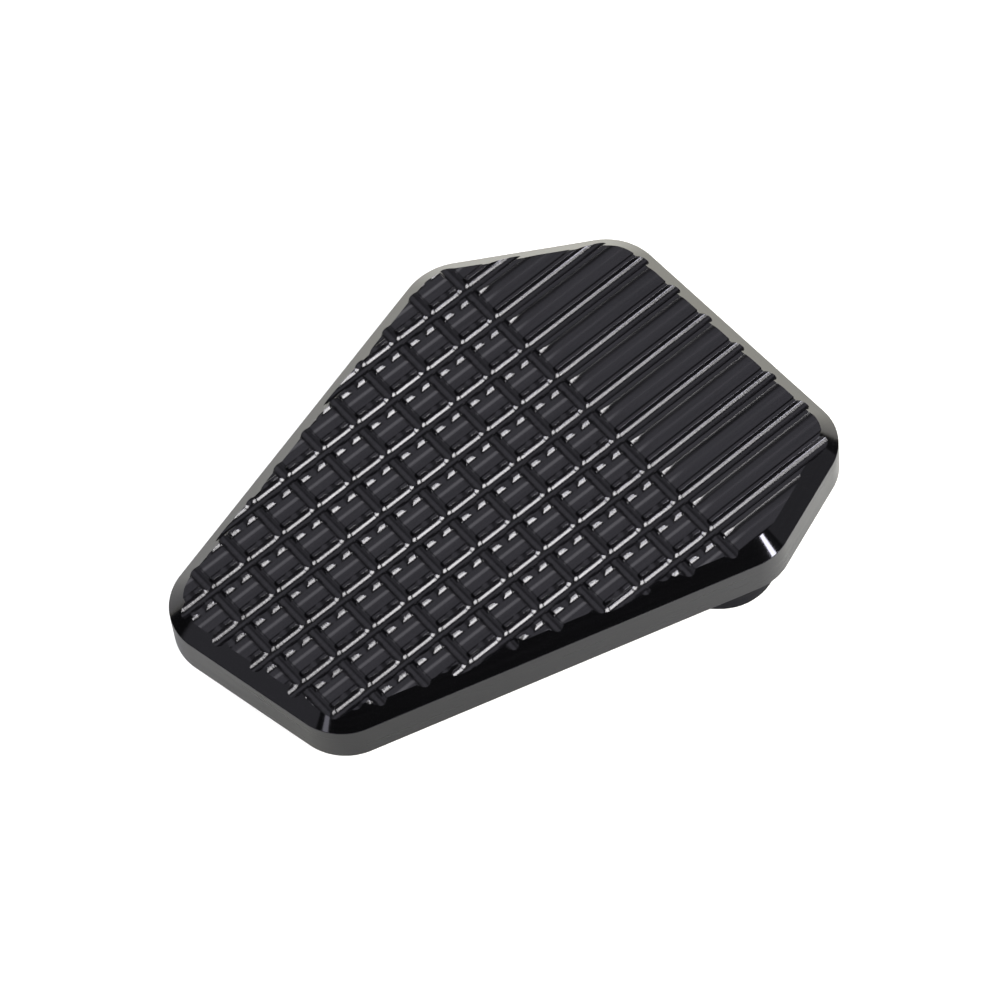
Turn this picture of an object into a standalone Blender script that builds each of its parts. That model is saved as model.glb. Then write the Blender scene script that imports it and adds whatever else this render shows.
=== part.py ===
"""Brake pedal extension: a milled tread pad, clamped over a motorbike's own brake pedal.

The pad is laid out on its tread. The layout's origin is where a long groove crosses a cross groove,
+X runs along the long grooves towards the wide end, and the whole part is then centred on the frame.
The bike's pedal lies in the slot between the pad and the clamp plate, among the three spacers.
"""
import math

import bmesh
import bpy
import numpy as np

MM = 0.001

# Pad outline: the sharp corners of its side wall, counter-clockwise, each with its rounding radius.
NARROW_FAR = (-31.90 * MM, 18.60 * MM, 6.4 * MM)
NARROW_NEAR = (-26.50 * MM, -7.05 * MM, 6.7 * MM)
WIDE_NEAR = (23.80 * MM, -22.10 * MM, 6.5 * MM)
REAR_NEAR = (40.00 * MM, -16.05 * MM, 5.9 * MM)
REAR_FAR = (38.70 * MM, 20.00 * MM, 7.1 * MM)
WIDE_FAR = (19.05 * MM, 32.10 * MM, 7.5 * MM)
CORNERS = (NARROW_FAR, NARROW_NEAR, WIDE_NEAR, REAR_NEAR, REAR_FAR, WIDE_FAR)
CORNER_STEPS = 7

# Pad section.
PAD_THICKNESS = 7.6 * MM
PAD_BEVEL = 2.05 * MM
PAD_EDGE_BREAK = 0.3 * MM

# Tread: long grooves and shallow flat troughs by turns, cut across by the cross grooves. Between two cross
# grooves a shallow cross trough takes the middle out of the lands, so each tile keeps one at each corner.
PITCH_ACROSS = 5.18 * MM
PITCH_ALONG = 5.0 * MM
LONG_GROOVES = range(-3, 6)
CROSS_GROOVES = range(-5, 5)
GROOVE_WIDTH = 1.4 * MM
GROOVE_FLOOR = 0.1 * MM
GROOVE_DEPTH = 0.65 * MM
GROOVE_OFFSET = -0.08 * MM
CROSS_GROOVE_WIDTH = 1.4 * MM
CROSS_GROOVE_DEPTH = 0.65 * MM
TROUGH_WIDTH = 2.7 * MM
TROUGH_FLOOR = 1.75 * MM
TROUGH_DEPTH = 0.3 * MM
CROSS_TROUGH_WIDTH = 1.6 * MM
CROSS_TROUGH_DEPTH = 0.28 * MM
CUT_STEPS = 4

# Fixings: M5 screws with low round heads, driven up from below.
SCREW_RADIUS = 2.5 * MM
SCREW_REACH = 4.4 * MM
SCREW_TIP_BEVEL = 0.5 * MM
HEAD_RADIUS = 4.75 * MM
HEAD_HEIGHT = 2.75 * MM
HEAD_RIM = 0.5 * MM
HEAD_FLAT_RADIUS = 2.6 * MM
HEAD_STEPS = 5
SOCKET_ACROSS_FLATS = 3.0 * MM
SOCKET_DEPTH = 1.7 * MM
HOLE_BEYOND_TIP = 0.5 * MM

# Clamp plate and the spacers that set the slot for the bike's pedal.
CLAMP_THICKNESS = 3.5 * MM
CLAMP_LOBE_RADIUS = 6.35 * MM
CLAMP_SIDE_RADIUS = 60.0 * MM
CLAMP_EDGE_BREAK = 0.4 * MM
LOBE_STEPS = 12
SIDE_STEPS = 8
SLOT_HEIGHT = 5.8 * MM
SPACER_RADIUS = 5.0 * MM
SEAT_GAP = 0.3 * MM
ROUND_STEPS = 32

# Screw places: a corner of the pad, then the distances in from the edge before it and the edge after it.
SCREW_SEATS = (
    (WIDE_NEAR, 9.75 * MM, 9.4 * MM),
    (REAR_FAR, 14.8 * MM, 10.0 * MM),
    (NARROW_FAR, 16.4 * MM, 15.1 * MM),
)

# How far a cutter runs past what it cuts.
OVERCUT = 1.0 * MM

# Heights, from the screw heads that the part stands on up to the tread.
CLAMP_BOTTOM = HEAD_HEIGHT + SEAT_GAP
CLAMP_TOP = CLAMP_BOTTOM + CLAMP_THICKNESS
PAD_BOTTOM = CLAMP_TOP + SLOT_HEIGHT
PAD_TOP = PAD_BOTTOM + PAD_THICKNESS
HOLE_RADIUS = SCREW_RADIUS + SEAT_GAP
SCREW_TIP = PAD_BOTTOM + SCREW_REACH


def edge_normals(corner):
    """The outward normals of the edges before and after a corner of the counter-clockwise outline."""
    place = CORNERS.index(corner)
    around = [np.array(CORNERS[(place + turn) % len(CORNERS)][:2]) for turn in (-1, 0, 1)]
    runs = (around[1] - around[0], around[2] - around[1])
    return [np.array((run[1], -run[0])) / np.hypot(*run) for run in runs]


def point_inside(corner, from_before, from_after):
    """The point at given distances in from the two edges that meet at a corner."""
    normals = np.array(edge_normals(corner))
    reach = normals @ np.array(corner[:2]) - np.array((from_before, from_after))
    return np.linalg.solve(normals, reach)


def arc(centre, radius, start, end, steps):
    """Points of a counter-clockwise arc from the angle start to the angle end."""
    if end < start:
        end += math.tau
    angles = np.linspace(start, end, steps + 1)
    return centre + radius * np.stack((np.cos(angles), np.sin(angles)), axis=1)


def pad_outline(inset):
    """The pad's rounded outline, moved in by inset: the same corner centres with smaller radii."""
    stretches = []
    for corner in CORNERS:
        radius = corner[2]
        centre = point_inside(corner, radius, radius)
        start, end = (math.atan2(normal[1], normal[0]) for normal in edge_normals(corner))
        stretches.append(arc(centre, radius - inset, start, end, CORNER_STEPS))
    return np.concatenate(stretches)


def angle(run):
    """Direction of a run in the plan, counter-clockwise from +X."""
    return math.atan2(run[1], run[0])


def side_centre(lobe, following):
    """Centre of the clamp's hollow side from one lobe to the following: outside, and touching both."""
    run = following - lobe
    length = np.hypot(*run)
    reach = math.sqrt((CLAMP_LOBE_RADIUS + CLAMP_SIDE_RADIUS) ** 2 - (length / 2) ** 2)
    return (lobe + following) / 2 + reach * np.array((run[1], -run[0])) / length


def clamp_outline(centres, inset):
    """Round lobes joined by hollow sides, moved in by inset: arcs that keep their centres."""
    stretches = []
    for place, centre in enumerate(centres):
        following = centres[(place + 1) % len(centres)]
        before = side_centre(centres[place - 1], centre)
        after = side_centre(centre, following)
        lobe_turn = (angle(before - centre), angle(after - centre))
        stretches.append(arc(centre, CLAMP_LOBE_RADIUS - inset, *lobe_turn, LOBE_STEPS))
        side_turn = (angle(following - after), angle(centre - after))
        stretches.append(arc(after, CLAMP_SIDE_RADIUS + inset, *side_turn, SIDE_STEPS)[-2:0:-1])
    return np.concatenate(stretches)


WALL = pad_outline(0.0)
LAYOUT_CENTRE = (WALL.min(axis=0) + WALL.max(axis=0)) / 2
SCREWS = [point_inside(*seat) - LAYOUT_CENTRE for seat in SCREW_SEATS]


def add_object(name, mesh_data, material=None):
    """Links a bmesh to the scene as an object; with no material it is a cutter, left out of renders."""
    bmesh.ops.recalc_face_normals(mesh_data, faces=mesh_data.faces)
    mesh = bpy.data.meshes.new(name)
    mesh_data.to_mesh(mesh)
    mesh_data.free()
    item = bpy.data.objects.new(name, mesh)
    bpy.context.collection.objects.link(item)
    if material:
        mesh.materials.append(material)
    else:
        item.hide_render = True
        item.display_type = 'WIRE'
    return item


def add_loft(mesh_data, loops):
    """A closed skin over loops of equal length, each a list of 3-D points, capped at both ends."""
    rings = [[mesh_data.verts.new(point) for point in loop] for loop in loops]
    for lower, upper in zip(rings, rings[1:]):
        for here in range(len(lower)):
            after = (here + 1) % len(lower)
            mesh_data.faces.new((lower[here], lower[after], upper[after], upper[here]))
    mesh_data.faces.new(reversed(rings[0]))
    mesh_data.faces.new(rings[-1])


def level(outline, height):
    """A flat outline as 3-D points at a height."""
    return [(x, y, height) for x, y in outline]


def layered(name, layers, material=None):
    """A solid through flat outlines stacked by height."""
    mesh_data = bmesh.new()
    add_loft(mesh_data, [level(outline, height) for outline, height in layers])
    return add_object(name, mesh_data, material)


def turned(name, profile, centre, material=None):
    """A solid of revolution: profile lists (radius, height) from one end of the axis to the other."""
    mesh_data = bmesh.new()
    around = np.linspace(0.0, math.tau, ROUND_STEPS, endpoint=False)
    ring = np.stack((np.cos(around), np.sin(around)), axis=1)
    add_loft(mesh_data, [level(centre + radius * ring, height) for radius, height in profile])
    return add_object(name, mesh_data, material)


def cut(item, cutter):
    """Takes a cutter out of a piece."""
    boolean = item.modifiers.new(cutter.name, 'BOOLEAN')
    boolean.operation = 'DIFFERENCE'
    boolean.solver = 'EXACT'
    boolean.object = cutter


def shade_round(item):
    """Smooth shading that keeps the crisp edges."""
    item.data.shade_smooth()
    item.data.set_sharp_from_angle(angle=math.radians(30))


def hollow_section(width, depth, floor=0.0):
    """A milling cut seen end on: circular arcs below the tread either side of a flat floor, open above it."""
    side = (width - floor) / 2
    radius = (side ** 2 + depth ** 2) / (2 * depth)
    turns = np.linspace(0.0, math.asin(side / radius), CUT_STEPS // 2 + 1)
    rise = [(floor / 2 + radius * math.sin(turn), radius - depth - radius * math.cos(turn)) for turn in turns]
    fall = [(-across, height) for across, height in reversed(rise)]
    bottom = fall + rise if floor else fall + rise[1:]
    return bottom + [(width / 2, OVERCUT), (-width / 2, OVERCUT)]


def tread_cutter(name, section_places, across_x):
    """Straight cuts through the tread, each a (section, place) pair; across_x turns them along Y."""
    reach = np.abs(WALL - LAYOUT_CENTRE).max() + OVERCUT
    mesh_data = bmesh.new()
    for section, place in section_places:
        ends = []
        for end in (-reach, reach):
            line = [(place + side, end) if across_x else (end, place + side) for side, height in section]
            ends.append([(x, y, PAD_TOP + height) for (x, y), (side, height) in zip(line, section)])
        add_loft(mesh_data, ends)
    return add_object(name, mesh_data)


def anodised_black():
    """Dyed, satin anodised aluminium."""
    return principled('black_anodised_aluminium', (0.022, 0.022, 0.024, 1.0), 0.35, 0.4)


def stainless():
    """Turned stainless steel."""
    return principled('stainless_steel', (0.56, 0.55, 0.53, 1.0), 0.3, 1.0)


def principled(name, colour, roughness, metallic):
    material = bpy.data.materials.new(name)
    material.use_nodes = True
    shader = material.node_tree.nodes['Principled BSDF']
    shader.inputs['Base Color'].default_value = colour
    shader.inputs['Roughness'].default_value = roughness
    shader.inputs['Metallic'].default_value = metallic
    return material


def make_pad(material):
    """The pad: a bevelled plate with its milled tread and three blind screw holes underneath."""
    wall = WALL - LAYOUT_CENTRE
    pad = layered('tread_pad', (
        (pad_outline(PAD_EDGE_BREAK) - LAYOUT_CENTRE, PAD_BOTTOM),
        (wall, PAD_BOTTOM + PAD_EDGE_BREAK),
        (wall, PAD_TOP - PAD_BEVEL),
        (pad_outline(PAD_BEVEL) - LAYOUT_CENTRE, PAD_TOP),
    ), material)
    groove = hollow_section(GROOVE_WIDTH, GROOVE_DEPTH, GROOVE_FLOOR)
    trough = hollow_section(TROUGH_WIDTH, TROUGH_DEPTH, TROUGH_FLOOR)
    cross_groove = hollow_section(CROSS_GROOVE_WIDTH, CROSS_GROOVE_DEPTH)
    cross_trough = hollow_section(CROSS_TROUGH_WIDTH, CROSS_TROUGH_DEPTH)
    beside_grooves = range(LONG_GROOVES.start - 1, LONG_GROOVES.stop)
    before_grooves = range(CROSS_GROOVES.start - 1, CROSS_GROOVES.stop - 1)
    long_cuts = [(groove, row * PITCH_ACROSS + GROOVE_OFFSET - LAYOUT_CENTRE[1]) for row in LONG_GROOVES]
    long_cuts += [(trough, (row + 0.5) * PITCH_ACROSS - LAYOUT_CENTRE[1]) for row in beside_grooves]
    cross_cuts = [(cross_groove, column * PITCH_ALONG - LAYOUT_CENTRE[0]) for column in CROSS_GROOVES]
    cross_cuts += [(cross_trough, (column + 0.5) * PITCH_ALONG - LAYOUT_CENTRE[0])
                   for column in before_grooves]
    cut(pad, tread_cutter('long_cutter', long_cuts, across_x=False))
    cut(pad, tread_cutter('cross_cutter', cross_cuts, across_x=True))
    for number, centre in enumerate(SCREWS, start=1):
        profile = ((HOLE_RADIUS, PAD_BOTTOM - OVERCUT), (HOLE_RADIUS, SCREW_TIP + HOLE_BEYOND_TIP))
        cut(pad, turned(f'pad_hole_cutter_{number}', profile, centre))


def make_clamp(material):
    """The clamp plate: three round lobes joined by hollow sides, with a clear hole in each."""
    lobes = counter_clockwise(SCREWS)
    broken = clamp_outline(lobes, CLAMP_EDGE_BREAK)
    full = clamp_outline(lobes, 0.0)
    clamp = layered('clamp_plate', (
        (broken, CLAMP_BOTTOM),
        (full, CLAMP_BOTTOM + CLAMP_EDGE_BREAK),
        (full, CLAMP_TOP - CLAMP_EDGE_BREAK),
        (broken, CLAMP_TOP),
    ), material)
    for number, centre in enumerate(SCREWS, start=1):
        profile = ((HOLE_RADIUS, CLAMP_BOTTOM - OVERCUT), (HOLE_RADIUS, CLAMP_TOP + OVERCUT))
        cut(clamp, turned(f'clamp_hole_cutter_{number}', profile, centre))


def counter_clockwise(points):
    """Points in counter-clockwise order about their middle."""
    middle = np.mean(points, axis=0)
    return sorted(points, key=lambda point: math.atan2(*(point - middle)[::-1]))


def make_spacer(number, centre, material):
    """A plain sleeve round a screw, between the clamp plate and the pad."""
    bottom = CLAMP_TOP + SEAT_GAP
    top = PAD_BOTTOM - SEAT_GAP
    spacer = turned(f'spacer_{number}', ((SPACER_RADIUS, bottom), (SPACER_RADIUS, top)), centre, material)
    profile = ((HOLE_RADIUS, bottom - OVERCUT), (HOLE_RADIUS, top + OVERCUT))
    cut(spacer, turned(f'spacer_bore_cutter_{number}', profile, centre))
    shade_round(spacer)


def head_profile():
    """The round head from its flat crown to its rim: a quarter ellipse between the two."""
    turns = np.linspace(0.0, math.pi / 2, HEAD_STEPS + 1)
    wide = HEAD_RADIUS - HEAD_FLAT_RADIUS
    tall = HEAD_HEIGHT - HEAD_RIM
    return [(HEAD_FLAT_RADIUS + wide * math.sin(turn), tall * (1 - math.cos(turn))) for turn in turns]


def make_screw(number, centre, material):
    """A screw with its head down and a hexagon socket in the crown."""
    profile = head_profile() + [
        (HEAD_RADIUS, HEAD_HEIGHT),
        (SCREW_RADIUS, HEAD_HEIGHT),
        (SCREW_RADIUS, SCREW_TIP - SCREW_TIP_BEVEL),
        (SCREW_RADIUS - SCREW_TIP_BEVEL, SCREW_TIP),
    ]
    screw = turned(f'screw_{number}', profile, centre, material)
    corner_radius = SOCKET_ACROSS_FLATS / math.sqrt(3)
    around = np.arange(6) * math.tau / 6
    hexagon = centre + corner_radius * np.stack((np.cos(around), np.sin(around)), axis=1)
    cut(screw, layered(f'socket_cutter_{number}', ((hexagon, -OVERCUT), (hexagon, SOCKET_DEPTH))))
    shade_round(screw)


def main():
    for item in list(bpy.data.objects):
        bpy.data.objects.remove(item)
    black = anodised_black()
    steel = stainless()
    make_pad(black)
    make_clamp(black)
    for number, centre in enumerate(SCREWS, start=1):
        make_spacer(number, centre, black)
        make_screw(number, centre, steel)


main()
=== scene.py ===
"""Looks of the brake pedal extension: a milled tread pad with its clamp plate, spacers and screws."""

import math

import bpy
import numpy as np
from mathutils import Matrix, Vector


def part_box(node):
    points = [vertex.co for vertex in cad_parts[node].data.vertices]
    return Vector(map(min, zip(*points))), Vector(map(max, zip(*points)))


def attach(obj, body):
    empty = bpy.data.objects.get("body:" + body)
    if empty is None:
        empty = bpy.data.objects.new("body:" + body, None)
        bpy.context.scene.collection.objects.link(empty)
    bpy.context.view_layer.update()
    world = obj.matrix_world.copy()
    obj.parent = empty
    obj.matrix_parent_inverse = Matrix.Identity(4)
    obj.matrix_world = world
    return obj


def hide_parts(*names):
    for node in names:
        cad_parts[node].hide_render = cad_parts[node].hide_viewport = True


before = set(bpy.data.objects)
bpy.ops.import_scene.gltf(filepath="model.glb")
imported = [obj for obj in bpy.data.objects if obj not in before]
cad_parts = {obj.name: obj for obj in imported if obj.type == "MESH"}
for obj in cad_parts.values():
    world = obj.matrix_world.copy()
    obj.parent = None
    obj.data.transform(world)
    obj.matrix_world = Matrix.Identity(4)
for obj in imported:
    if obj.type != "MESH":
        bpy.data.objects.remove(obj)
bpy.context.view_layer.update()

MM = 0.001

# Layout of the pad, as in the part's source: sharp corners of the side wall with their rounding radii.
CORNERS = MM * np.array((
    (-31.90, 18.60, 6.4),
    (-26.50, -7.05, 6.7),
    (23.80, -22.10, 6.5),
    (40.00, -16.05, 5.9),
    (38.70, 20.00, 7.1),
    (19.05, 32.10, 7.5),
))
PITCH_ACROSS = 5.18 * MM
PITCH_ALONG = 5.0 * MM
LONG_GROOVES = range(-3, 6)
CROSS_GROOVES = range(-5, 5)

# The tread's cuts, each by its width, its depth, the widths of its two hollow sides, the one at the lower
# coordinate first, and the round that breaks its edges. What the sides leave of the width is flat floor.
# The grooves are a little deeper and wider here than in the solids. The cross grooves' depth follows from
# how far their ends reach down the near bevel. The long grooves' depth is chosen for the bars of light.
GROOVE = MM * np.array((1.6, 0.87, 0.8, 0.8, 0.01))
CROSS_GROOVE = MM * np.array((1.5, 0.75, 0.75, 0.75, 0.15))
TROUGH = MM * np.array((2.74, 0.3, 0.27, 0.6, 0.05))
CROSS_TROUGH = MM * np.array((1.6, 0.28, 0.8, 0.8, 0.1))

# The long cuts lie this much off their places in the layout.
CUT_OFFSET = -0.08 * MM

# The low seam that two milling passes leave along a trough, counted across it from its middle.
SEAM_START = -0.25 * MM
SEAM_CREST = 0.05 * MM
SEAM_END = 0.5 * MM
SEAM_HEIGHT = 0.015 * MM

# The painted highlight along each trough is a paler line of colour that stands in for the light on the low
# seam where two milling passes meet. These are its half width, its shift off the trough's middle and how
# much of it is left past the last cross groove. It is whole down to the first of two levels below the
# tread's top and gone at the second, both in depths of a trough, so that it stays out of the grooves.
PAINTED_HIGHLIGHT_REACH = 0.34 * MM
PAINTED_HIGHLIGHT_SHIFT = 0.04 * MM
PAINTED_HIGHLIGHT_LEFT = 0.15
PAINTED_HIGHLIGHT_WHOLE_LEVEL = 1.2
PAINTED_HIGHLIGHT_GONE_LEVEL = 1.6

# Past the last cross groove the troughs change within this distance to a shallower, wider far side.
RUN_OUT_END = 2.4 * MM
RUN_OUT_SIDE = 1.0 * MM
RUN_OUT_DEPTH = 0.22 * MM
SEAM_FADE_END = 3.4 * MM

# The pad's edges.
PAD_BEVEL = 2.05 * MM
EDGE_BREAK = 0.3 * MM
EDGE_ROUND = 0.12 * MM

# Clamp plate and spacers, as in the part's source, with the small rounds and chamfers that tumbling leaves.
SCREW_SEATS = ((2, 9.75 * MM, 9.4 * MM), (4, 14.8 * MM, 10.0 * MM), (0, 16.4 * MM, 15.1 * MM))
HOLE_RADIUS = 2.8 * MM
HOLE_END = 17.25 * MM
SPACER_RADIUS = 5.0 * MM
SPACER_CHAMFER = 0.25 * MM
CLAMP_LOBE_RADIUS = 6.35 * MM
CLAMP_SIDE_RADIUS = 60.0 * MM
CLAMP_EDGE_BREAK = 0.4 * MM
SMALL_ROUND = 0.08 * MM

# Screws, as in the part's source, with an M5 thread.
SCREW_RADIUS = 2.5 * MM
HEAD_RADIUS = 4.75 * MM
HEAD_HEIGHT = 2.75 * MM
HEAD_RIM = 0.5 * MM
HEAD_FLAT_RADIUS = 2.6 * MM
SOCKET_ACROSS_FLATS = 3.0 * MM
SOCKET_DEPTH = 1.7 * MM
SOCKET_CHAMFER = 0.15 * MM
SOCKET_POINT_RADIUS = 0.2 * MM
SOCKET_POINT_DEPTH = 0.6 * MM
SCREW_TIP_BEVEL = 0.5 * MM
THREAD_PITCH = 0.8 * MM
THREAD_DEPTH = 0.49 * MM
THREAD_NECK = 0.6 * MM
THREAD_FLAT = 0.125

# Steps round a circle, a pad corner, a small round, a thread turn and the screw's dome.
ROUND_STEPS = 72
CORNER_STEPS = 24
SIDE_STEPS = 24
SOFT_STEPS = 4
THREAD_STEPS = 8
DOME_STEPS = 12

# Grid lines of the tread, on a cut's side, its rounded edge and the run-out. Lines that agree to this many
# decimals of a metre are one line.
SIDE_LINES = 5
EDGE_LINES = 2
RUN_OUT_LINES = 6
LINE_DECIMALS = 8

# How far the extra point or line beside each curve lies from it.
GUARD = 0.03 * MM

# How far a cutter runs past what it cuts.
OVERCUT = 1.0 * MM

# Where faces meet at more than this many degrees, shading stays crisp.
SHARP_ANGLE = 30
TREAD_SHARP_ANGLE = 20

# The values of a noise that are spread over a material's range, and the share by which roughness strays
# from its middle value.
NOISE_LOW = 0.25
NOISE_HIGH = 0.75
ROUGHNESS_SPREAD = 0.15

# Lengths along X, Y and Z, in millimetres, of the tread's feed marks, the dimples of blasting and the rings
# that a lathe tool leaves, and the depth of those rings.
FEED_MARKS = (0.22, 4.0, 4.0)
DIMPLES = (0.25, 0.25, 0.25)
LATHE_RINGS = (6.0, 6.0, 0.15)
LATHE_RING_DEPTH = 0.004 * MM

# The oxide film on the aluminium, and the range of the steel's roughness.
FILM_IOR = 1.5
FILM_TINT = "#f0eeff"
STEEL_ROUGHNESS = (0.22, 0.32)

# The photograph's view. The lens and the sensor's width are in millimetres.
CAMERA_AZIMUTH = math.radians(-123.632)
CAMERA_ELEVATION = math.radians(61.046)
CAMERA_ROLL = math.radians(-7.548)
CAMERA_TARGET = np.array((1.108, -1.834, 19.35)) * MM
CAMERA_DISTANCE = 694.04 * MM
CAMERA_LENS = 227.98
CAMERA_SENSOR = 36.0
CAMERA_NEAR = 10.0 * MM

# The floor and the room: sizes in metres, and lifts and strengths where 1 is white.
FLOOR_REACH = 3.0
FLOOR_GAP = 0.02 * MM
FLOOR_COLOUR = "#e8e8e8"
FLOOR_COOL = "#f4f4ff"
FLOOR_WARM = "#fffbe4"
FLOOR_LIFT_CAMERA = 0.8
FLOOR_LIFT_GLOSSY = 0.33
FLOOR_LIFT_LEAST = 0.08
FLOOR_LIFT_MOST = 1.0
FLOOR_SLOPES = (6.5, 5.0, 0.0)
ROOM_STRENGTH = 0.045
WHITE = (1.0, 1.0, 1.0, 1.0)


# Outlines

def edge_normals(corner):
    """Outward normals of the edges before and after a corner: each edge's run turned a quarter clockwise."""
    before, here, after = (CORNERS[(corner + turn) % len(CORNERS), :2] for turn in (-1, 0, 1))
    runs = np.array((here - before, after - here))
    return np.stack((runs[:, 1], -runs[:, 0]), axis=1) / np.hypot(*runs.T)[:, None]


def point_inside(corner, from_before, from_after):
    """The point whose distances in from a corner's two edges are given: two line equations solved."""
    normals = edge_normals(corner)
    return np.linalg.solve(normals, normals @ CORNERS[corner, :2] - np.array((from_before, from_after)))


def arc(centre, radius, start, end, steps):
    """Centre plus radius times (cos, sin) of evenly spaced angles, counter-clockwise."""
    angles = np.linspace(start, end if end > start else end + math.tau, steps + 1)
    return centre + radius * np.stack((np.cos(angles), np.sin(angles)), axis=1)


def pad_outline(inset):
    """The rounded outline moved in by inset: arcs about fixed centres with radius less inset.

    A guard point lies on the straight just before and just after each arc.
    """
    stretches = []
    for corner, (_, _, radius) in enumerate(CORNERS):
        normals = edge_normals(corner)
        start, end = (math.atan2(y, x) for x, y in normals)
        centre = point_inside(corner, radius, radius)
        round_part = arc(centre, radius - inset, start, end, CORNER_STEPS)
        onward = GUARD * np.stack((-normals[:, 1], normals[:, 0]), axis=1)
        stretches += [round_part[:1] - onward[0], round_part, round_part[-1:] + onward[1]]
    return np.concatenate(stretches)


def angle(run):
    """Direction of a run in the plan, counter-clockwise from +X."""
    return math.atan2(run[1], run[0])


def side_centre(lobe, following):
    """Centre of the clamp's hollow side between two lobes: outside their chord, and touching both."""
    run = following - lobe
    length = np.hypot(*run)
    reach = math.sqrt((CLAMP_LOBE_RADIUS + CLAMP_SIDE_RADIUS) ** 2 - (length / 2) ** 2)
    return (lobe + following) / 2 + reach * np.array((run[1], -run[0])) / length


def clamp_outline(centres, inset):
    """Round lobes joined by hollow sides, moved in by inset: arcs that keep their centres."""
    stretches = []
    for place, centre in enumerate(centres):
        following = centres[(place + 1) % len(centres)]
        before = side_centre(centres[place - 1], centre)
        after = side_centre(centre, following)
        lobe_turn = (angle(before - centre), angle(after - centre))
        stretches.append(arc(centre, CLAMP_LOBE_RADIUS - inset, *lobe_turn, CORNER_STEPS))
        side_turn = (angle(following - after), angle(centre - after))
        stretches.append(arc(after, CLAMP_SIDE_RADIUS + inset, *side_turn, SIDE_STEPS)[-2:0:-1])
    return np.concatenate(stretches)


TURN = np.arange(ROUND_STEPS) * math.tau / ROUND_STEPS


def ring(centre, radius):
    """Centre plus radius times (cos, sin) of the even turns; the radius may differ from turn to turn."""
    return centre + np.multiply(radius, (np.cos(TURN), np.sin(TURN))).T


def softened(profile, radius):
    """A profile whose inner corners become short curves.

    Each starts and ends at radius times tan(half the turn) from its corner c, at a and b, and runs
    (1 - t) squared times a, plus 2 t (1 - t) times c, plus t squared times b. A guard point lies just
    before a and just after b, so that smooth shading keeps the flats flat.
    """
    profile = np.asarray(profile, dtype=float)
    runs = np.diff(profile, axis=0)
    runs /= np.linalg.norm(runs, axis=1)[:, None]
    t = np.linspace(0.0, 1.0, SOFT_STEPS + 1)[:, None]
    pieces = [profile[:1]]
    for corner, before, after in zip(profile[1:-1], runs[:-1], runs[1:]):
        reach = radius * math.tan(math.acos(np.clip(before @ after, -1.0, 1.0)) / 2)
        start, end = corner - reach * before, corner + reach * after
        curve = (1 - t) ** 2 * start + 2 * t * (1 - t) * corner + t ** 2 * end
        pieces += [start[None] - GUARD * before, curve, end[None] + GUARD * after]
    return np.concatenate(pieces + [profile[-1:]])


WALL = pad_outline(0.0)
LAYOUT_CENTRE = (WALL.min(axis=0) + WALL.max(axis=0)) / 2
SCREWS = [point_inside(*seat) - LAYOUT_CENTRE for seat in SCREW_SEATS]
PAD_BOTTOM, PAD_TOP = (corner[2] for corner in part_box("tread_pad"))
CLAMP_BOTTOM, CLAMP_TOP = (corner[2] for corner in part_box("clamp_plate"))
SPACER_BOTTOM, SPACER_TOP = (corner[2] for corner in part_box("spacer_1"))
SCREW_BOTTOM, SCREW_TOP = (corner[2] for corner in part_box("screw_1"))


# Mesh helpers

def add_piece(name, points, faces, materials, face_materials=None):
    """A closed mesh from arrays of points and faces, with its origin at the frame's."""
    mesh = bpy.data.meshes.new(name)
    mesh.from_pydata(points.tolist(), [], faces if isinstance(faces, list) else faces.tolist())
    for material in materials:
        mesh.materials.append(material)
    if face_materials is not None:
        mesh.polygons.foreach_set("material_index", np.asarray(face_materials, dtype=np.int32))
    mesh.update()
    piece = bpy.data.objects.new(name, mesh)
    bpy.context.collection.objects.link(piece)
    return piece


def loft(loops, endless=False):
    """Points and faces of a closed skin over loops of (x, y) at heights.

    Each loop is joined to the next by quads. The ends are capped flat, or joined to each other.
    """
    outlines = [np.column_stack((outline, np.full(len(outline), height))) for outline, height in loops]
    count = len(outlines[0])
    here = np.arange(count)
    after = (here + 1) % count
    levels = np.arange(len(loops) if endless else len(loops) - 1)[:, None] * count
    upper = (levels + count) % (len(loops) * count)
    quads = np.stack((levels + here, levels + after, upper + after, upper + here), axis=-1)
    faces = quads.reshape(-1, 4).tolist()
    if not endless:
        faces += [here[::-1].tolist(), (here + count * (len(loops) - 1)).tolist()]
    return np.concatenate(outlines), faces


def boolean(piece, cutter, operation):
    """Combines a piece with a closed cutter, at once, and removes the cutter."""
    change = piece.modifiers.new(cutter.name, "BOOLEAN")
    change.operation = operation
    change.solver = "EXACT"
    change.object = cutter
    evaluated = piece.evaluated_get(bpy.context.evaluated_depsgraph_get())
    mesh = bpy.data.meshes.new_from_object(evaluated)
    piece.modifiers.clear()
    piece.data = mesh
    bpy.data.objects.remove(cutter)


def shade_by_angle(piece, degrees):
    """Smooth shading that stays crisp where faces meet at more than the angle."""
    piece.data.shade_smooth()
    piece.data.set_sharp_from_angle(angle=math.radians(degrees))


# Tread

def side_form(side, depth, edge):
    """Radius of a cut's hollow side, where its arc ends and how far its edge round reaches.

    The arc of radius r is tangent to the floor, so r = (w squared + d squared) / 2 d for a side w wide and
    d deep. The round of radius q touches both the arc and the land. Its centre lies q below the land and
    r + q from the arc's centre, which gives its reach from the floor's end; the arc ends at r / (r + q) of
    that reach.
    """
    radius = (side ** 2 + depth ** 2) / (2 * depth)
    reach = np.sqrt((radius + edge) ** 2 - (radius - depth + edge) ** 2)
    return radius, radius * reach / (radius + edge), reach


def past_floor(offset, cut):
    """How far an offset from a cut's middle lies past its floor, and the width of the side that it is on."""
    width, _, lower, upper, _ = cut
    side = np.where(offset < 0, lower, upper)
    return np.abs(offset) + side - width / 2, side


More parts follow.
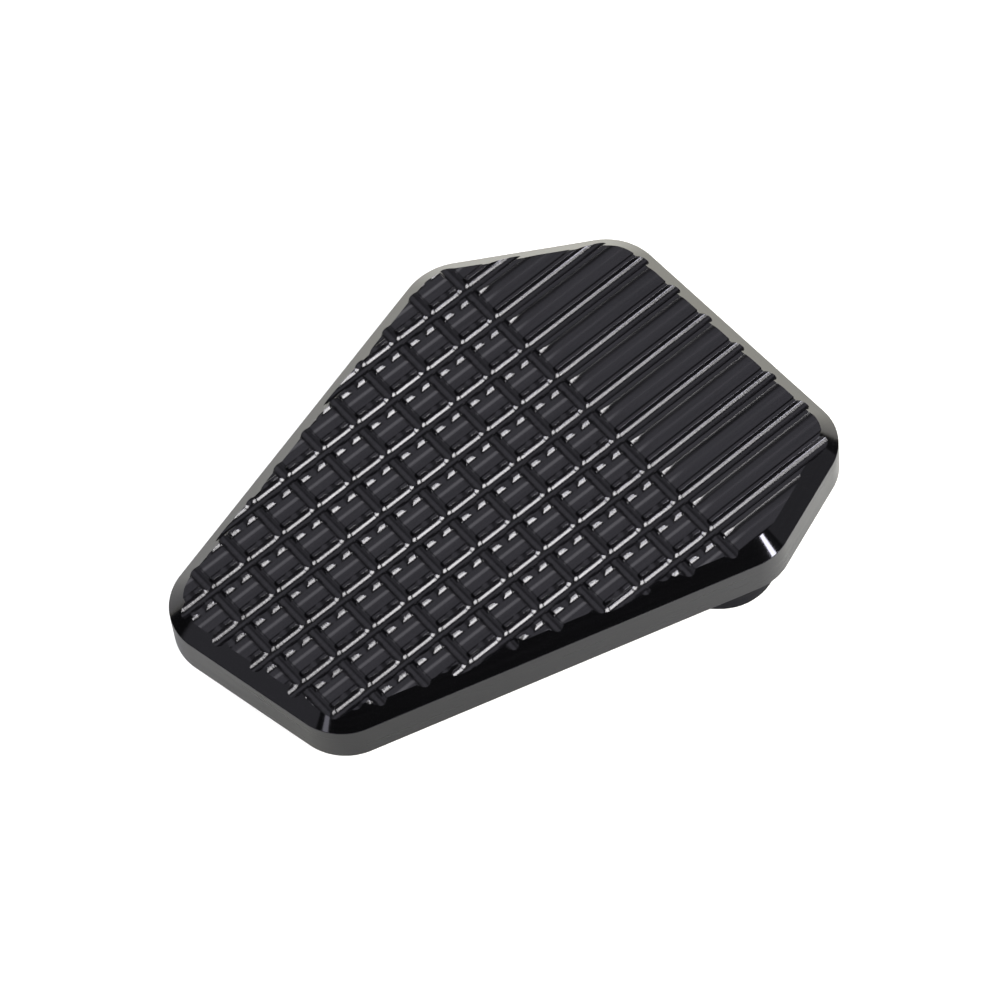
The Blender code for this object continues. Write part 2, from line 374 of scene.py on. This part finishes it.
def hollow_depth(offset, cut):
    """Depth of a cut's floor and sides at an offset from its middle.

    It is root(r squared - s squared) - (r - d), at s past the floor, for a side of radius r and depth d.
    """
    _, depth, _, _, edge = cut
    past, side = past_floor(offset, cut)
    radius, touch, _ = side_form(side, depth, edge)
    below = np.sqrt(radius ** 2 - np.clip(past, 0.0, touch) ** 2) - (radius - depth)
    return np.where(past <= touch, below, 0.0)


def edge_depth(offset, cut):
    """Depth of a cut's rounded edge, kept on inside it.

    It is q - root(q squared - s squared), at s in from its reach, for a round of radius q.
    """
    _, depth, _, _, edge = cut
    past, side = past_floor(offset, cut)
    _, touch, reach = side_form(side, depth, edge)
    inward = np.clip(reach - past, 0.0, reach - touch)
    return edge - np.sqrt(edge ** 2 - inward ** 2)


def cut_depth(offset, cut):
    """Depth of a cut with its rounded edges."""
    return np.maximum(hollow_depth(offset, cut), edge_depth(offset, cut))


def cut_lines(middle, cut, side_lines=SIDE_LINES, edge_lines=EDGE_LINES):
    """Grid lines over a cut: even turns of its side arcs, and its rounded edges.

    A guard line lies just outside each edge, and just inside each end of a flat floor, so that smooth
    shading doesn't carry a side's slope out over the flats.
    """
    width, depth, lower, upper, edge = cut
    lines = []
    for way, side in ((-1, lower), (1, upper)):
        radius, touch, reach = side_form(side, depth, edge)
        arc_part = radius * np.sin(np.linspace(0.0, math.asin(touch / radius), side_lines + 1))
        turn = math.asin((reach - touch) / edge)
        round_part = reach - edge * np.sin(np.linspace(0.0, turn, edge_lines, endpoint=False))
        guards = (reach + GUARD, -GUARD) if width > lower + upper else (reach + GUARD,)
        lines.append(middle + way * (width / 2 - side + np.concatenate((arc_part, round_part, guards))))
    return np.concatenate(lines)


def nearest(value, pitch, first, last, shift=0.0):
    """Offset of each value from the nearest of the evenly spaced middles (place + shift) times pitch."""
    place = np.clip(np.round(value / pitch - shift), first, last) + shift
    return value - place * pitch


def ramp(value, start, end):
    """0 before start, 1 after end and 3 t squared - 2 t cubed between them."""
    t = np.clip((value - start) / (end - start), 0.0, 1.0)
    return t * t * (3 - 2 * t)


def tread_lines():
    """Grid lines along X and Y: over every cut, on its edges, and spread over what lies between."""
    reach = np.abs(WALL).max() + OVERCUT
    last = CROSS_GROOVES[-1] * PITCH_ALONG
    along = [np.array((-reach, reach))]
    along.append(np.linspace(last + CROSS_GROOVE[0], last + SEAM_FADE_END, RUN_OUT_LINES))
    for column in CROSS_GROOVES:
        along.append(cut_lines(column * PITCH_ALONG, CROSS_GROOVE, edge_lines=EDGE_LINES + 1))
        along.append(cut_lines((column - 0.5) * PITCH_ALONG, CROSS_TROUGH, side_lines=SIDE_LINES - 2))
    across = [np.array((-reach, reach))]
    for row in LONG_GROOVES:
        across.append(cut_lines(row * PITCH_ACROSS + CUT_OFFSET, GROOVE, edge_lines=EDGE_LINES - 1))
    rise = np.linspace(SEAM_START, SEAM_CREST, 3)
    fall = np.linspace(SEAM_CREST, SEAM_END, 3)
    for row in range(LONG_GROOVES[0] - 1, LONG_GROOVES[-1] + 1):
        middle = (row + 0.5) * PITCH_ACROSS + CUT_OFFSET
        across.append(cut_lines(middle, TROUGH, edge_lines=EDGE_LINES - 1))
        across.append(middle + np.concatenate((rise, fall)))
    return [np.unique(np.round(np.concatenate(lines), LINE_DECIMALS)) for lines in (along, across)]


def tread_height(x, y):
    """Height of the tread: its top less the deepest of the cuts there.

    A seam stands in each trough: a ramp up across it, then a longer ramp down. Past the last cross groove
    the troughs' far sides widen and lie flatter, and the seam fades. A cross groove's rounded edge is added
    to the shallow cuts that it crosses, and to the lands, so that it runs through all of them.
    """
    last = CROSS_GROOVES[-1] * PITCH_ALONG
    run_out = ramp(x, last + CROSS_GROOVE[0] / 2, last + RUN_OUT_END)
    from_groove = nearest(y - CUT_OFFSET, PITCH_ACROSS, LONG_GROOVES[0], LONG_GROOVES[-1])
    groove = cut_depth(from_groove, GROOVE)
    from_middle = nearest(y - CUT_OFFSET, PITCH_ACROSS, LONG_GROOVES[0] - 1, LONG_GROOVES[-1], shift=0.5)
    widened = TROUGH[:, None, None] * np.ones_like(run_out)
    widened[1] += (RUN_OUT_DEPTH - TROUGH[1]) * run_out
    widened[3] += (RUN_OUT_SIDE - TROUGH[3]) * run_out
    trough = cut_depth(from_middle, widened)
    cross_middle = nearest(x, PITCH_ALONG, CROSS_GROOVES[0], CROSS_GROOVES[-1], shift=-0.5)
    cross_trough = cut_depth(cross_middle, CROSS_TROUGH)
    rise = ramp(from_middle, SEAM_START, SEAM_CREST) - ramp(from_middle, SEAM_CREST, SEAM_END)
    seam = SEAM_HEIGHT * rise * (1 - ramp(x, last + CROSS_GROOVE[0] / 2, last + SEAM_FADE_END))
    shallow = np.maximum(groove, np.maximum(trough, cross_trough) - seam)
    from_cross = nearest(x, PITCH_ALONG, CROSS_GROOVES[0], CROSS_GROOVES[-1])
    edge = edge_depth(from_cross, CROSS_GROOVE) * (1 - ramp(shallow, TROUGH[1], GROOVE[1]))
    return PAD_TOP - np.maximum(shallow + edge, hollow_depth(from_cross, CROSS_GROOVE))


def tread_block():
    """A slab whose top is the tread: height over a grid, each cell split along its higher diagonal."""
    along, across = tread_lines()
    x, y = np.meshgrid(along, across, indexing="ij")
    z = tread_height(x, y)
    columns, rows = x.shape
    count = columns * rows
    top = np.stack((x - LAYOUT_CENTRE[0], y - LAYOUT_CENTRE[1], z), axis=-1).reshape(-1, 3)
    base = top * (1, 1, 0) + (0, 0, PAD_BOTTOM - OVERCUT)
    place = np.arange(count).reshape(columns, rows)
    a, b, c, d = (part.ravel() for part in (place[:-1, :-1], place[1:, :-1], place[1:, 1:], place[:-1, 1:]))
    rising = (z.ravel()[a] + z.ravel()[c] >= z.ravel()[b] + z.ravel()[d])[:, None, None]
    split = np.where(rising, np.stack(((a, b, c), (a, c, d))).transpose(2, 0, 1),
                     np.stack(((a, b, d), (b, c, d))).transpose(2, 0, 1)).reshape(-1, 3)
    rim = np.concatenate((place[:, 0], place[-1, 1:], place[-2::-1, -1], place[0, -2:0:-1]))
    after = np.roll(rim, -1)
    low = count + np.arange(len(rim))
    low_after = np.roll(low, -1)
    walls = np.stack((low, low_after, after, rim), axis=1)
    faces = split.tolist() + walls.tolist() + [low[::-1].tolist()]
    return np.concatenate((top, base[rim])), faces


def make_pad(tread, bevel, wall):
    """The tread block cut to the pad's outer form, less the blind screw holes underneath.

    The outer form is a wall with broken edges, under a bevel that runs on above the tread.
    """
    finishes = (tread, bevel, wall)
    bevel_place, wall_place = 1, 2
    pad = add_piece("milled_pad", *tread_block(), finishes)
    profile = softened((
        (EDGE_BREAK, PAD_BOTTOM),
        (0.0, PAD_BOTTOM + EDGE_BREAK),
        (0.0, PAD_TOP - PAD_BEVEL),
        (PAD_BEVEL + OVERCUT, PAD_TOP + OVERCUT),
    ), EDGE_ROUND)
    loops = [(pad_outline(inset) - LAYOUT_CENTRE, height) for inset, height in profile]
    points, faces = loft(loops)
    caps = 2
    kinds = np.full(len(faces), wall_place)
    kinds[-caps - len(loops[0][0]):-caps] = bevel_place
    body = add_piece("pad_body", points, faces, finishes, kinds)
    boolean(pad, body, "INTERSECT")
    for number, centre in enumerate(SCREWS, start=1):
        heights = (PAD_BOTTOM - OVERCUT, HOLE_END)
        points, faces = loft([(ring(centre, HOLE_RADIUS), height) for height in heights])
        kinds = np.full(len(faces), wall_place)
        hole = add_piece(f"pad_hole_{number}", points, faces, finishes, kinds)
        boolean(pad, hole, "DIFFERENCE")
    shade_by_angle(pad, TREAD_SHARP_ANGLE)
    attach(pad, "root")
    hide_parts("tread_pad")


def make_clamp(finish):
    """The clamp plate: lobes and hollow sides with broken edges, and a clear hole in each lobe."""
    middle = np.mean(SCREWS, axis=0)
    centres = sorted(SCREWS, key=lambda centre: angle(centre - middle))
    profile = softened((
        (CLAMP_EDGE_BREAK, CLAMP_BOTTOM),
        (0.0, CLAMP_BOTTOM + CLAMP_EDGE_BREAK),
        (0.0, CLAMP_TOP - CLAMP_EDGE_BREAK),
        (CLAMP_EDGE_BREAK, CLAMP_TOP),
    ), SMALL_ROUND)
    loops = [(clamp_outline(centres, inset), height) for inset, height in profile]
    clamp = add_piece("clamp_triangle", *loft(loops), (finish,))
    for number, centre in enumerate(SCREWS, start=1):
        heights = (CLAMP_BOTTOM - OVERCUT, CLAMP_TOP + OVERCUT)
        ends = [(ring(centre, HOLE_RADIUS), height) for height in heights]
        boolean(clamp, add_piece(f"clamp_hole_{number}", *loft(ends), (finish,)), "DIFFERENCE")
    shade_by_angle(clamp, SHARP_ANGLE)
    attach(clamp, "root")
    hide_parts("clamp_plate")


def make_spacer(number, centre, finish):
    """A turned sleeve: up its outside, over its chamfers and down its bore, joined end to end."""
    outside = [
        (SPACER_RADIUS - SPACER_CHAMFER, SPACER_BOTTOM),
        (SPACER_RADIUS, SPACER_BOTTOM + SPACER_CHAMFER),
        (SPACER_RADIUS, SPACER_TOP - SPACER_CHAMFER),
        (SPACER_RADIUS - SPACER_CHAMFER, SPACER_TOP),
    ]
    bore = [
        (HOLE_RADIUS + SPACER_CHAMFER, SPACER_TOP),
        (HOLE_RADIUS, SPACER_TOP - SPACER_CHAMFER),
        (HOLE_RADIUS, SPACER_BOTTOM + SPACER_CHAMFER),
        (HOLE_RADIUS + SPACER_CHAMFER, SPACER_BOTTOM),
    ]
    profile = softened(outside + bore + outside[:1], SMALL_ROUND)[:-1]
    loops = [(ring(centre, radius), height) for radius, height in profile]
    spacer = add_piece(f"turned_spacer_{number}", *loft(loops, endless=True), (finish,))
    shade_by_angle(spacer, SHARP_ANGLE)
    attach(spacer, "root")
    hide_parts(f"spacer_{number}")


def thread_radius(height):
    """Radii round a thread at a height: the crest less the depth of a 60 degree groove with flats.

    The groove follows a triangle wave of height over pitch less the turn, cut flat at crest and root, and
    starts a neck's length above the head.
    """
    phase = (height / THREAD_PITCH - TURN / math.tau) % 1.0
    wave = np.clip((1 + 2 * THREAD_FLAT) * np.abs(2 * phase - 1) - THREAD_FLAT, 0.0, 1.0)
    return SCREW_RADIUS - THREAD_DEPTH * wave * ramp(height, HEAD_HEIGHT, HEAD_HEIGHT + THREAD_NECK)


def make_screw(number, centre, finish):
    """A screw, head down: out of its socket, over the dome and the head's rim, and up the thread.

    The socket's radius at a turn is half its flats over the cosine of the turn from the nearest flat. The
    dome is a quarter ellipse.
    """
    flat_turn = (TURN + math.pi / 6) % (math.pi / 3) - math.pi / 6
    hexagon = SOCKET_ACROSS_FLATS / 2 / np.cos(flat_turn)
    turn = np.linspace(0.0, math.pi / 2, DOME_STEPS + 1)
    wide = HEAD_RADIUS - HEAD_FLAT_RADIUS
    tall = HEAD_HEIGHT - HEAD_RIM
    dome = np.column_stack((HEAD_FLAT_RADIUS + wide * np.sin(turn), tall * (1 - np.cos(turn))))
    rim = softened((
        (HEAD_RADIUS, tall),
        (HEAD_RADIUS, HEAD_HEIGHT),
        (SCREW_RADIUS, HEAD_HEIGHT),
    ), SMALL_ROUND)
    shank = np.arange(HEAD_HEIGHT, SCREW_TOP - SCREW_TIP_BEVEL, THREAD_PITCH / THREAD_STEPS)
    tip = np.clip(thread_radius(SCREW_TOP), 0.0, SCREW_RADIUS - SCREW_TIP_BEVEL)
    bands = [(SOCKET_POINT_RADIUS, SOCKET_DEPTH + SOCKET_POINT_DEPTH), (hexagon, SOCKET_DEPTH)]
    bands += [(hexagon, SOCKET_CHAMFER), (SOCKET_ACROSS_FLATS / math.sqrt(3) + SOCKET_CHAMFER, 0.0)]
    bands += [*dome, *rim[1:-1]]
    bands += [(thread_radius(height), height) for height in shank]
    bands.append((tip, SCREW_TOP))
    loops = [(ring(centre, radius), SCREW_BOTTOM + height) for radius, height in bands]
    screw = add_piece(f"button_screw_{number}", *loft(loops), (finish,))
    shade_by_angle(screw, SHARP_ANGLE)
    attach(screw, "root")
    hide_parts(f"screw_{number}")


# Materials

def linear(code):
    """An sRGB hex colour as linear RGBA.

    Each part c becomes ((c + 0.055) / 1.055) to the power 2.4, or c / 12.92 up to 0.04045.
    """
    parts = np.array([int(code[place:place + 2], 16) for place in (1, 3, 5)]) / 255
    parts = np.where(parts > 0.04045, ((parts + 0.055) / 1.055) ** 2.4, parts / 12.92)
    return (*parts.tolist(), 1.0)


def node(tree, kind, settings=None, **links):
    """Adds a node: settings go to its properties or sockets, links name a socket and what feeds it.

    A whole number in settings, or one after a letter in links, is the place of a socket that shares its
    name with others: a Mix node's two colours are at 6 and 7, and its mixed colour is output 2.
    """
    new = tree.nodes.new(kind)
    for key, value in (settings or {}).items():
        if isinstance(key, int) or key in new.inputs:
            new.inputs[key].default_value = value
        else:
            setattr(new, key, value)
    for key, source in links.items():
        socket = new.inputs[int(key[1:])] if key[1:].isdigit() else new.inputs[key.replace("_", " ")]
        tree.links.new(source, socket)
    return new


def blank_material(name):
    """A new material with no nodes, and its tree to fill."""
    material = bpy.data.materials.new(name)
    material.use_nodes = True
    material.node_tree.nodes.clear()
    return material, material.node_tree


def marks(tree, lengths, detail, seed):
    """A noise from 0 to 1 whose marks are as long along X, Y and Z as the lengths in millimetres say."""
    place = node(tree, "ShaderNodeTexCoord")
    scale = tuple(1 / (length * MM) for length in lengths)
    spread = node(tree, "ShaderNodeMapping", {"Scale": scale, "Location": (seed, seed, seed)},
                  Vector=place.outputs["Object"])
    noise = node(tree, "ShaderNodeTexNoise", {"Scale": 1.0, "Detail": detail}, Vector=spread.outputs[0])
    return noise.outputs[0]


def graded(tree, value, low, high):
    """The middle half of a noise, spread from low to high."""
    spread = node(tree, "ShaderNodeMapRange", {
        "From Min": NOISE_LOW, "From Max": NOISE_HIGH, "To Min": low, "To Max": high}, Value=value)
    return spread.outputs[0]


def painted_highlight_line(tree):
    """Mask of the painted highlight: 1 along each trough's floor middle and 0 at its reach off it, fading
    past the last cross groove.

    The distance from the nearest trough's middle is the pitch times how far y over the pitch, less a half,
    lies from a whole number.
    """
    place = node(tree, "ShaderNodeTexCoord")
    split = node(tree, "ShaderNodeSeparateXYZ", Vector=place.outputs["Object"])
    first = (PITCH_ACROSS / 2 - LAYOUT_CENTRE[1] + CUT_OFFSET + PAINTED_HIGHLIGHT_SHIFT) / PITCH_ACROSS
    turns = node(tree, "ShaderNodeMath", {"operation": "MULTIPLY_ADD", 1: 1 / PITCH_ACROSS, 2: 0.5 - first},
                 i0=split.outputs["Y"])
    part = node(tree, "ShaderNodeMath", {"operation": "FRACT"}, i0=turns.outputs[0])
    offset = node(tree, "ShaderNodeMath", {"operation": "SUBTRACT", 1: 0.5}, i0=part.outputs[0])
    away = node(tree, "ShaderNodeMath", {"operation": "ABSOLUTE"}, i0=offset.outputs[0])
    line = node(tree, "ShaderNodeMapRange", {
        "interpolation_type": "SMOOTHSTEP", "From Min": 0.0, "From Max": PAINTED_HIGHLIGHT_REACH / PITCH_ACROSS,
        "To Min": 1.0, "To Max": 0.0}, Value=away.outputs[0])
    last = CROSS_GROOVES[-1] * PITCH_ALONG - LAYOUT_CENTRE[0]
    fade = node(tree, "ShaderNodeMapRange", {
        "interpolation_type": "SMOOTHSTEP", "From Min": last, "From Max": last + SEAM_FADE_END,
        "To Min": 1.0, "To Max": PAINTED_HIGHLIGHT_LEFT}, Value=split.outputs["X"])
    floor = node(tree, "ShaderNodeMapRange", {
        "From Min": PAD_TOP - PAINTED_HIGHLIGHT_GONE_LEVEL * TROUGH[1],
        "From Max": PAD_TOP - PAINTED_HIGHLIGHT_WHOLE_LEVEL * TROUGH[1]}, Value=split.outputs["Z"])
    shown = node(tree, "ShaderNodeMath", {"operation": "MULTIPLY"}, i0=line.outputs[0], i1=fade.outputs[0])
    kept = node(tree, "ShaderNodeMath", {"operation": "MULTIPLY"}, i0=shown.outputs[0], i1=floor.outputs[0])
    return kept.outputs[0]


def anodised(name, colours, roughness, tool_marks, mark_depth, grain_depth, gloss=0.5, painted_highlight_colour=None,
             feed_depth=0.0):
    """Black anodised aluminium: a clear, dyed oxide film over what the cutter and the blasting left.

    The film gives the eye a black with a cool cast and a clear gloss at low angles. Its oxide is a
    dielectric, so it isn't a metal here. Tool marks are long streaks that take the dye a little unevenly, so
    they turn both the colour and the roughness. The grain is the dimpling of fine glass beads, about 0.05 mm
    across, drawn 0.25 mm across so that it shows. A paler colour may be laid along each trough's middle: a
    painted highlight that stands in for the light on the seam there. Feed marks lie across the cuts, one for
    each bite of the cutter, and break the bars of light into beads.
    """
    material, tree = blank_material(name)
    streaks = marks(tree, tool_marks, detail=3.0, seed=0.0)
    grain = marks(tree, DIMPLES, detail=1.0, seed=7.0)
    low, high = (linear(code) for code in colours)
    colour = node(tree, "ShaderNodeMix", {"data_type": "RGBA", 6: low, 7: high},
                  i0=graded(tree, streaks, 0.0, 1.0)).outputs[2]
    # Painted highlight: a paler colour along each trough's middle stands in for the light on the seam.
    if painted_highlight_colour:
        colour = node(tree, "ShaderNodeMix", {"data_type": "RGBA", 7: linear(painted_highlight_colour)},
                      i0=painted_highlight_line(tree), i6=colour).outputs[2]
    dimples = node(tree, "ShaderNodeBump", {"Distance": grain_depth}, Height=grain)
    relief = node(tree, "ShaderNodeBump", {"Distance": mark_depth}, Height=streaks,
                  Normal=dimples.outputs[0])
    if feed_depth:
        bites = marks(tree, FEED_MARKS, detail=1.0, seed=3.0)
        relief = node(tree, "ShaderNodeBump", {"Distance": feed_depth}, Height=bites,
                      Normal=relief.outputs[0])
    smoother, rougher = roughness * (1 - ROUGHNESS_SPREAD), roughness * (1 + ROUGHNESS_SPREAD)
    shader = node(tree, "ShaderNodeBsdfPrincipled", {
        "Metallic": 0.0, "IOR": FILM_IOR, "Specular IOR Level": gloss, "Specular Tint": linear(FILM_TINT)},
        Base_Color=colour, Normal=relief.outputs[0], Roughness=graded(tree, streaks, smoother, rougher))
    node(tree, "ShaderNodeOutputMaterial", Surface=shader.outputs[0])
    return material


def stainless(name):
    """Turned and tumbled A2 stainless steel.

    It gives the eye a warm grey metal, softly bright, with the rings of the lathe tool.
    """
    material, tree = blank_material(name)
    rings = marks(tree, LATHE_RINGS, detail=2.0, seed=0.0)
    tone = node(tree, "ShaderNodeMix", {"data_type": "RGBA", 6: linear("#b9b5ae"), 7: linear("#cfccc6")},
                i0=graded(tree, rings, 0.0, 1.0))
    relief = node(tree, "ShaderNodeBump", {"Distance": LATHE_RING_DEPTH}, Height=rings)
    shader = node(tree, "ShaderNodeBsdfPrincipled", {"Metallic": 1.0},
                  Base_Color=tone.outputs[2], Normal=relief.outputs[0],
                  Roughness=graded(tree, rings, *STEEL_ROUGHNESS))
    node(tree, "ShaderNodeOutputMaterial", Surface=shader.outputs[0])
    return material


def milled_anodised():
    """The tread: end-milled along X, so its streaks are long along X and fine across."""
    # The paler colour along the troughs' middles is a painted highlight.
    return anodised("milled_anodised", ("#08080a", "#19181c"), roughness=0.2, tool_marks=(9.0, 0.4, 0.4),
                    mark_depth=0.0015 * MM, grain_depth=0.0008 * MM, painted_highlight_colour="#444348",
                    feed_depth=0.005 * MM)


def bright_cut_anodised():
    """The bevel: cut bright in one pass round the edge, so its marks lie level, and hardly blasted."""
    return anodised("bright_cut_anodised", ("#050506", "#09090b"), roughness=0.09,
                    tool_marks=(12.0, 12.0, 0.3), mark_depth=0.0015 * MM, grain_depth=0.0004 * MM)


def satin_anodised():
    """Walls, underside and spacers: profile-milled round the edge, then blasted to a satin."""
    return anodised("satin_anodised", ("#0a0a0d", "#15151a"), roughness=0.3, tool_marks=(14.0, 14.0, 0.35),
                    mark_depth=0.003 * MM, grain_depth=0.003 * MM)


def shaded_matt_anodised():
    """The clamp plate, sawn from plate, with a rough, matt finish. Its bluish colour and low gloss are
    painted shade, standing in for the shade that it sits in under the pad, so it shows darker and duller
    than the pad.
    """
    return anodised("shaded_matt_anodised", ("#0a0a12", "#15151f"), roughness=0.5, tool_marks=(14.0, 14.0, 0.4),
                    mark_depth=0.003 * MM, grain_depth=0.004 * MM, gloss=0.08)


# Stage

def direction(azimuth, elevation):
    """The unit vector towards an azimuth and elevation in radians."""
    level = math.cos(elevation)
    return np.array((math.cos(azimuth) * level, math.sin(azimuth) * level, math.sin(elevation)))


def add_camera():
    """The photograph's view: aimed at the target from its azimuth and elevation, turned by the roll."""
    backward = direction(CAMERA_AZIMUTH, CAMERA_ELEVATION)
    right = np.cross(-backward, (0.0, 0.0, 1.0))
    right /= np.linalg.norm(right)
    up = np.cross(right, -backward)
    across = math.cos(CAMERA_ROLL) * right + math.sin(CAMERA_ROLL) * up
    upward = math.cos(CAMERA_ROLL) * up - math.sin(CAMERA_ROLL) * right
    camera = bpy.data.objects.new("camera", bpy.data.cameras.new("camera"))
    camera.data.lens = CAMERA_LENS
    camera.data.sensor_width = CAMERA_SENSOR
    camera.data.clip_start = CAMERA_NEAR
    place = CAMERA_TARGET + CAMERA_DISTANCE * backward
    matrix = np.eye(4)
    matrix[:3] = np.column_stack((across, upward, backward, place))
    camera.matrix_world = Matrix(matrix.tolist())
    bpy.context.collection.objects.link(camera)
    bpy.context.scene.camera = camera


def add_softbox(name, azimuth, elevation, distance, width, height, radiance, turn=0.0, glossy=True,
                colour="#ffffff"):
    """An area lamp that faces the object from an azimuth and elevation, in degrees, turned by an angle.

    Its distance, width and height are in metres. The turn is clockwise as seen from behind the lamp. The
    power is pi times area times radiance.
    """
    lamp = bpy.data.lights.new(name, "AREA")
    lamp.shape = "RECTANGLE"
    lamp.size = width
    lamp.size_y = height
    lamp.energy = math.pi * width * height * radiance
    lamp.color = linear(colour)[:3]
    item = bpy.data.objects.new(name, lamp)
    backward = direction(math.radians(azimuth), math.radians(elevation))
    level = np.cross((0.0, 0.0, 1.0), backward)
    level /= np.linalg.norm(level)
    upright = np.cross(backward, level)
    cos, sin = math.cos(math.radians(turn)), math.sin(math.radians(turn))
    matrix = np.eye(4)
    matrix[:3] = np.column_stack((cos * level - sin * upright, sin * level + cos * upright, backward,
                                  distance * backward))
    item.matrix_world = Matrix(matrix.tolist())
    item.visible_glossy = glossy
    bpy.context.collection.objects.link(item)


def add_floor():
    """A pale floor, lit as plain card, and lifted to white for the camera.

    For reflections the lift rises away from the camera and to the right, as the room's light does there,
    and turns from cool to warm: its strength is a base plus slopes times the floor's X and Y.
    """
    material, tree = blank_material("pale_floor")
    path = node(tree, "ShaderNodeLightPath")
    place = node(tree, "ShaderNodeTexCoord")
    across = node(tree, "ShaderNodeVectorMath", {"operation": "DOT_PRODUCT", 1: FLOOR_SLOPES},
                  i0=place.outputs["Object"])
    rise = node(tree, "ShaderNodeMath", {"operation": "ADD", 1: FLOOR_LIFT_GLOSSY},
                i0=across.outputs["Value"])
    kept = node(tree, "ShaderNodeClamp", {"Min": FLOOR_LIFT_LEAST, "Max": FLOOR_LIFT_MOST},
                Value=rise.outputs[0])
    mirrored = node(tree, "ShaderNodeMath", {"operation": "MULTIPLY"}, i0=kept.outputs[0],
                    i1=path.outputs["Is Glossy Ray"])
    lift = node(tree, "ShaderNodeMath", {"operation": "MULTIPLY_ADD", 1: FLOOR_LIFT_CAMERA},
                i0=path.outputs["Is Camera Ray"], i2=mirrored.outputs[0])
    warmth = node(tree, "ShaderNodeMapRange", {"From Min": FLOOR_LIFT_LEAST, "From Max": FLOOR_LIFT_MOST},
                  Value=kept.outputs[0])
    cast = node(tree, "ShaderNodeMix", {"data_type": "RGBA", 6: linear(FLOOR_COOL), 7: linear(FLOOR_WARM)},
                i0=warmth.outputs[0])
    tint = node(tree, "ShaderNodeMix", {"data_type": "RGBA", 7: WHITE},
                i0=path.outputs["Is Camera Ray"], i6=cast.outputs[2])
    shader = node(tree, "ShaderNodeBsdfPrincipled", {
        "Base Color": linear(FLOOR_COLOUR), "Roughness": 1.0, "Specular IOR Level": 0.0},
        Emission_Strength=lift.outputs[0], Emission_Color=tint.outputs[2])
    node(tree, "ShaderNodeOutputMaterial", Surface=shader.outputs[0])
    corners = FLOOR_REACH * np.array(((-1, -1, 0), (1, -1, 0), (1, 1, 0), (-1, 1, 0)))
    corners = corners - (0, 0, FLOOR_GAP)
    floor = add_piece("floor", corners, [[0, 1, 2, 3]], (material,))


def add_world():
    """A dim, even room that the camera sees as white."""
    world = bpy.data.worlds.new("studio")
    bpy.context.scene.world = world
    world.use_nodes = True
    tree = world.node_tree
    tree.nodes.clear()
    path = node(tree, "ShaderNodeLightPath")
    white = node(tree, "ShaderNodeBackground", {"Color": WHITE, "Strength": 1.0})
    room = node(tree, "ShaderNodeBackground", {"Color": WHITE, "Strength": ROOM_STRENGTH})
    mix = node(tree, "ShaderNodeMixShader", Fac=path.outputs["Is Camera Ray"], i1=room.outputs[0],
               i2=white.outputs[0])
    node(tree, "ShaderNodeOutputWorld", Surface=mix.outputs[0])


def add_lamps():
    """The studio's soft lamps, each by its direction, distance, width, height and radiance."""
    # The strip draws the bars and dots of light along the tread's cuts.
    add_softbox("strip", -68.3, 47.5, 0.6, 0.072, 0.40, 32.0, turn=18.4, colour="#fffff0")
    # Two more draw a streak each on a rounded corner of the bevel.
    add_softbox("corner_streak", -67.5, 24, 0.9, 0.11, 0.16, 30.0)
    add_softbox("corner_strip", -161, 25.5, 0.9, 0.11, 0.35, 3.2)
    # Broad, dim lamps behind the pad and to its sides are mirrored in the bevel and the walls.
    add_softbox("back_high", 56, 62, 1.0, 1.1, 0.6, 0.7)
    add_softbox("back_low", 24, 28, 1.1, 0.9, 0.6, 0.42)
    add_softbox("left_high", 138, 46, 1.0, 0.7, 0.5, 0.26)
    add_softbox("left", 168, 26, 1.0, 0.6, 0.45, 0.48)
    add_softbox("right", -40, 16, 1.0, 0.35, 0.3, 0.3)
    # The fill adds plain light and isn't mirrored.
    add_softbox("fill", 56, 50, 1.2, 1.0, 0.8, 2.2, glossy=False)


def main():
    """Sets up the view, makes the finishes and the pieces, and lights them."""
    bpy.context.scene.view_settings.view_transform = "Standard"
    add_camera()
    satin = satin_anodised()
    steel = stainless("turned_stainless")
    make_pad(milled_anodised(), bright_cut_anodised(), satin)
    make_clamp(shaded_matt_anodised())
    for number, centre in enumerate(SCREWS, start=1):
        make_spacer(number, centre, satin)
        make_screw(number, centre, steel)
    add_floor()
    add_world()
    add_lamps()


main()
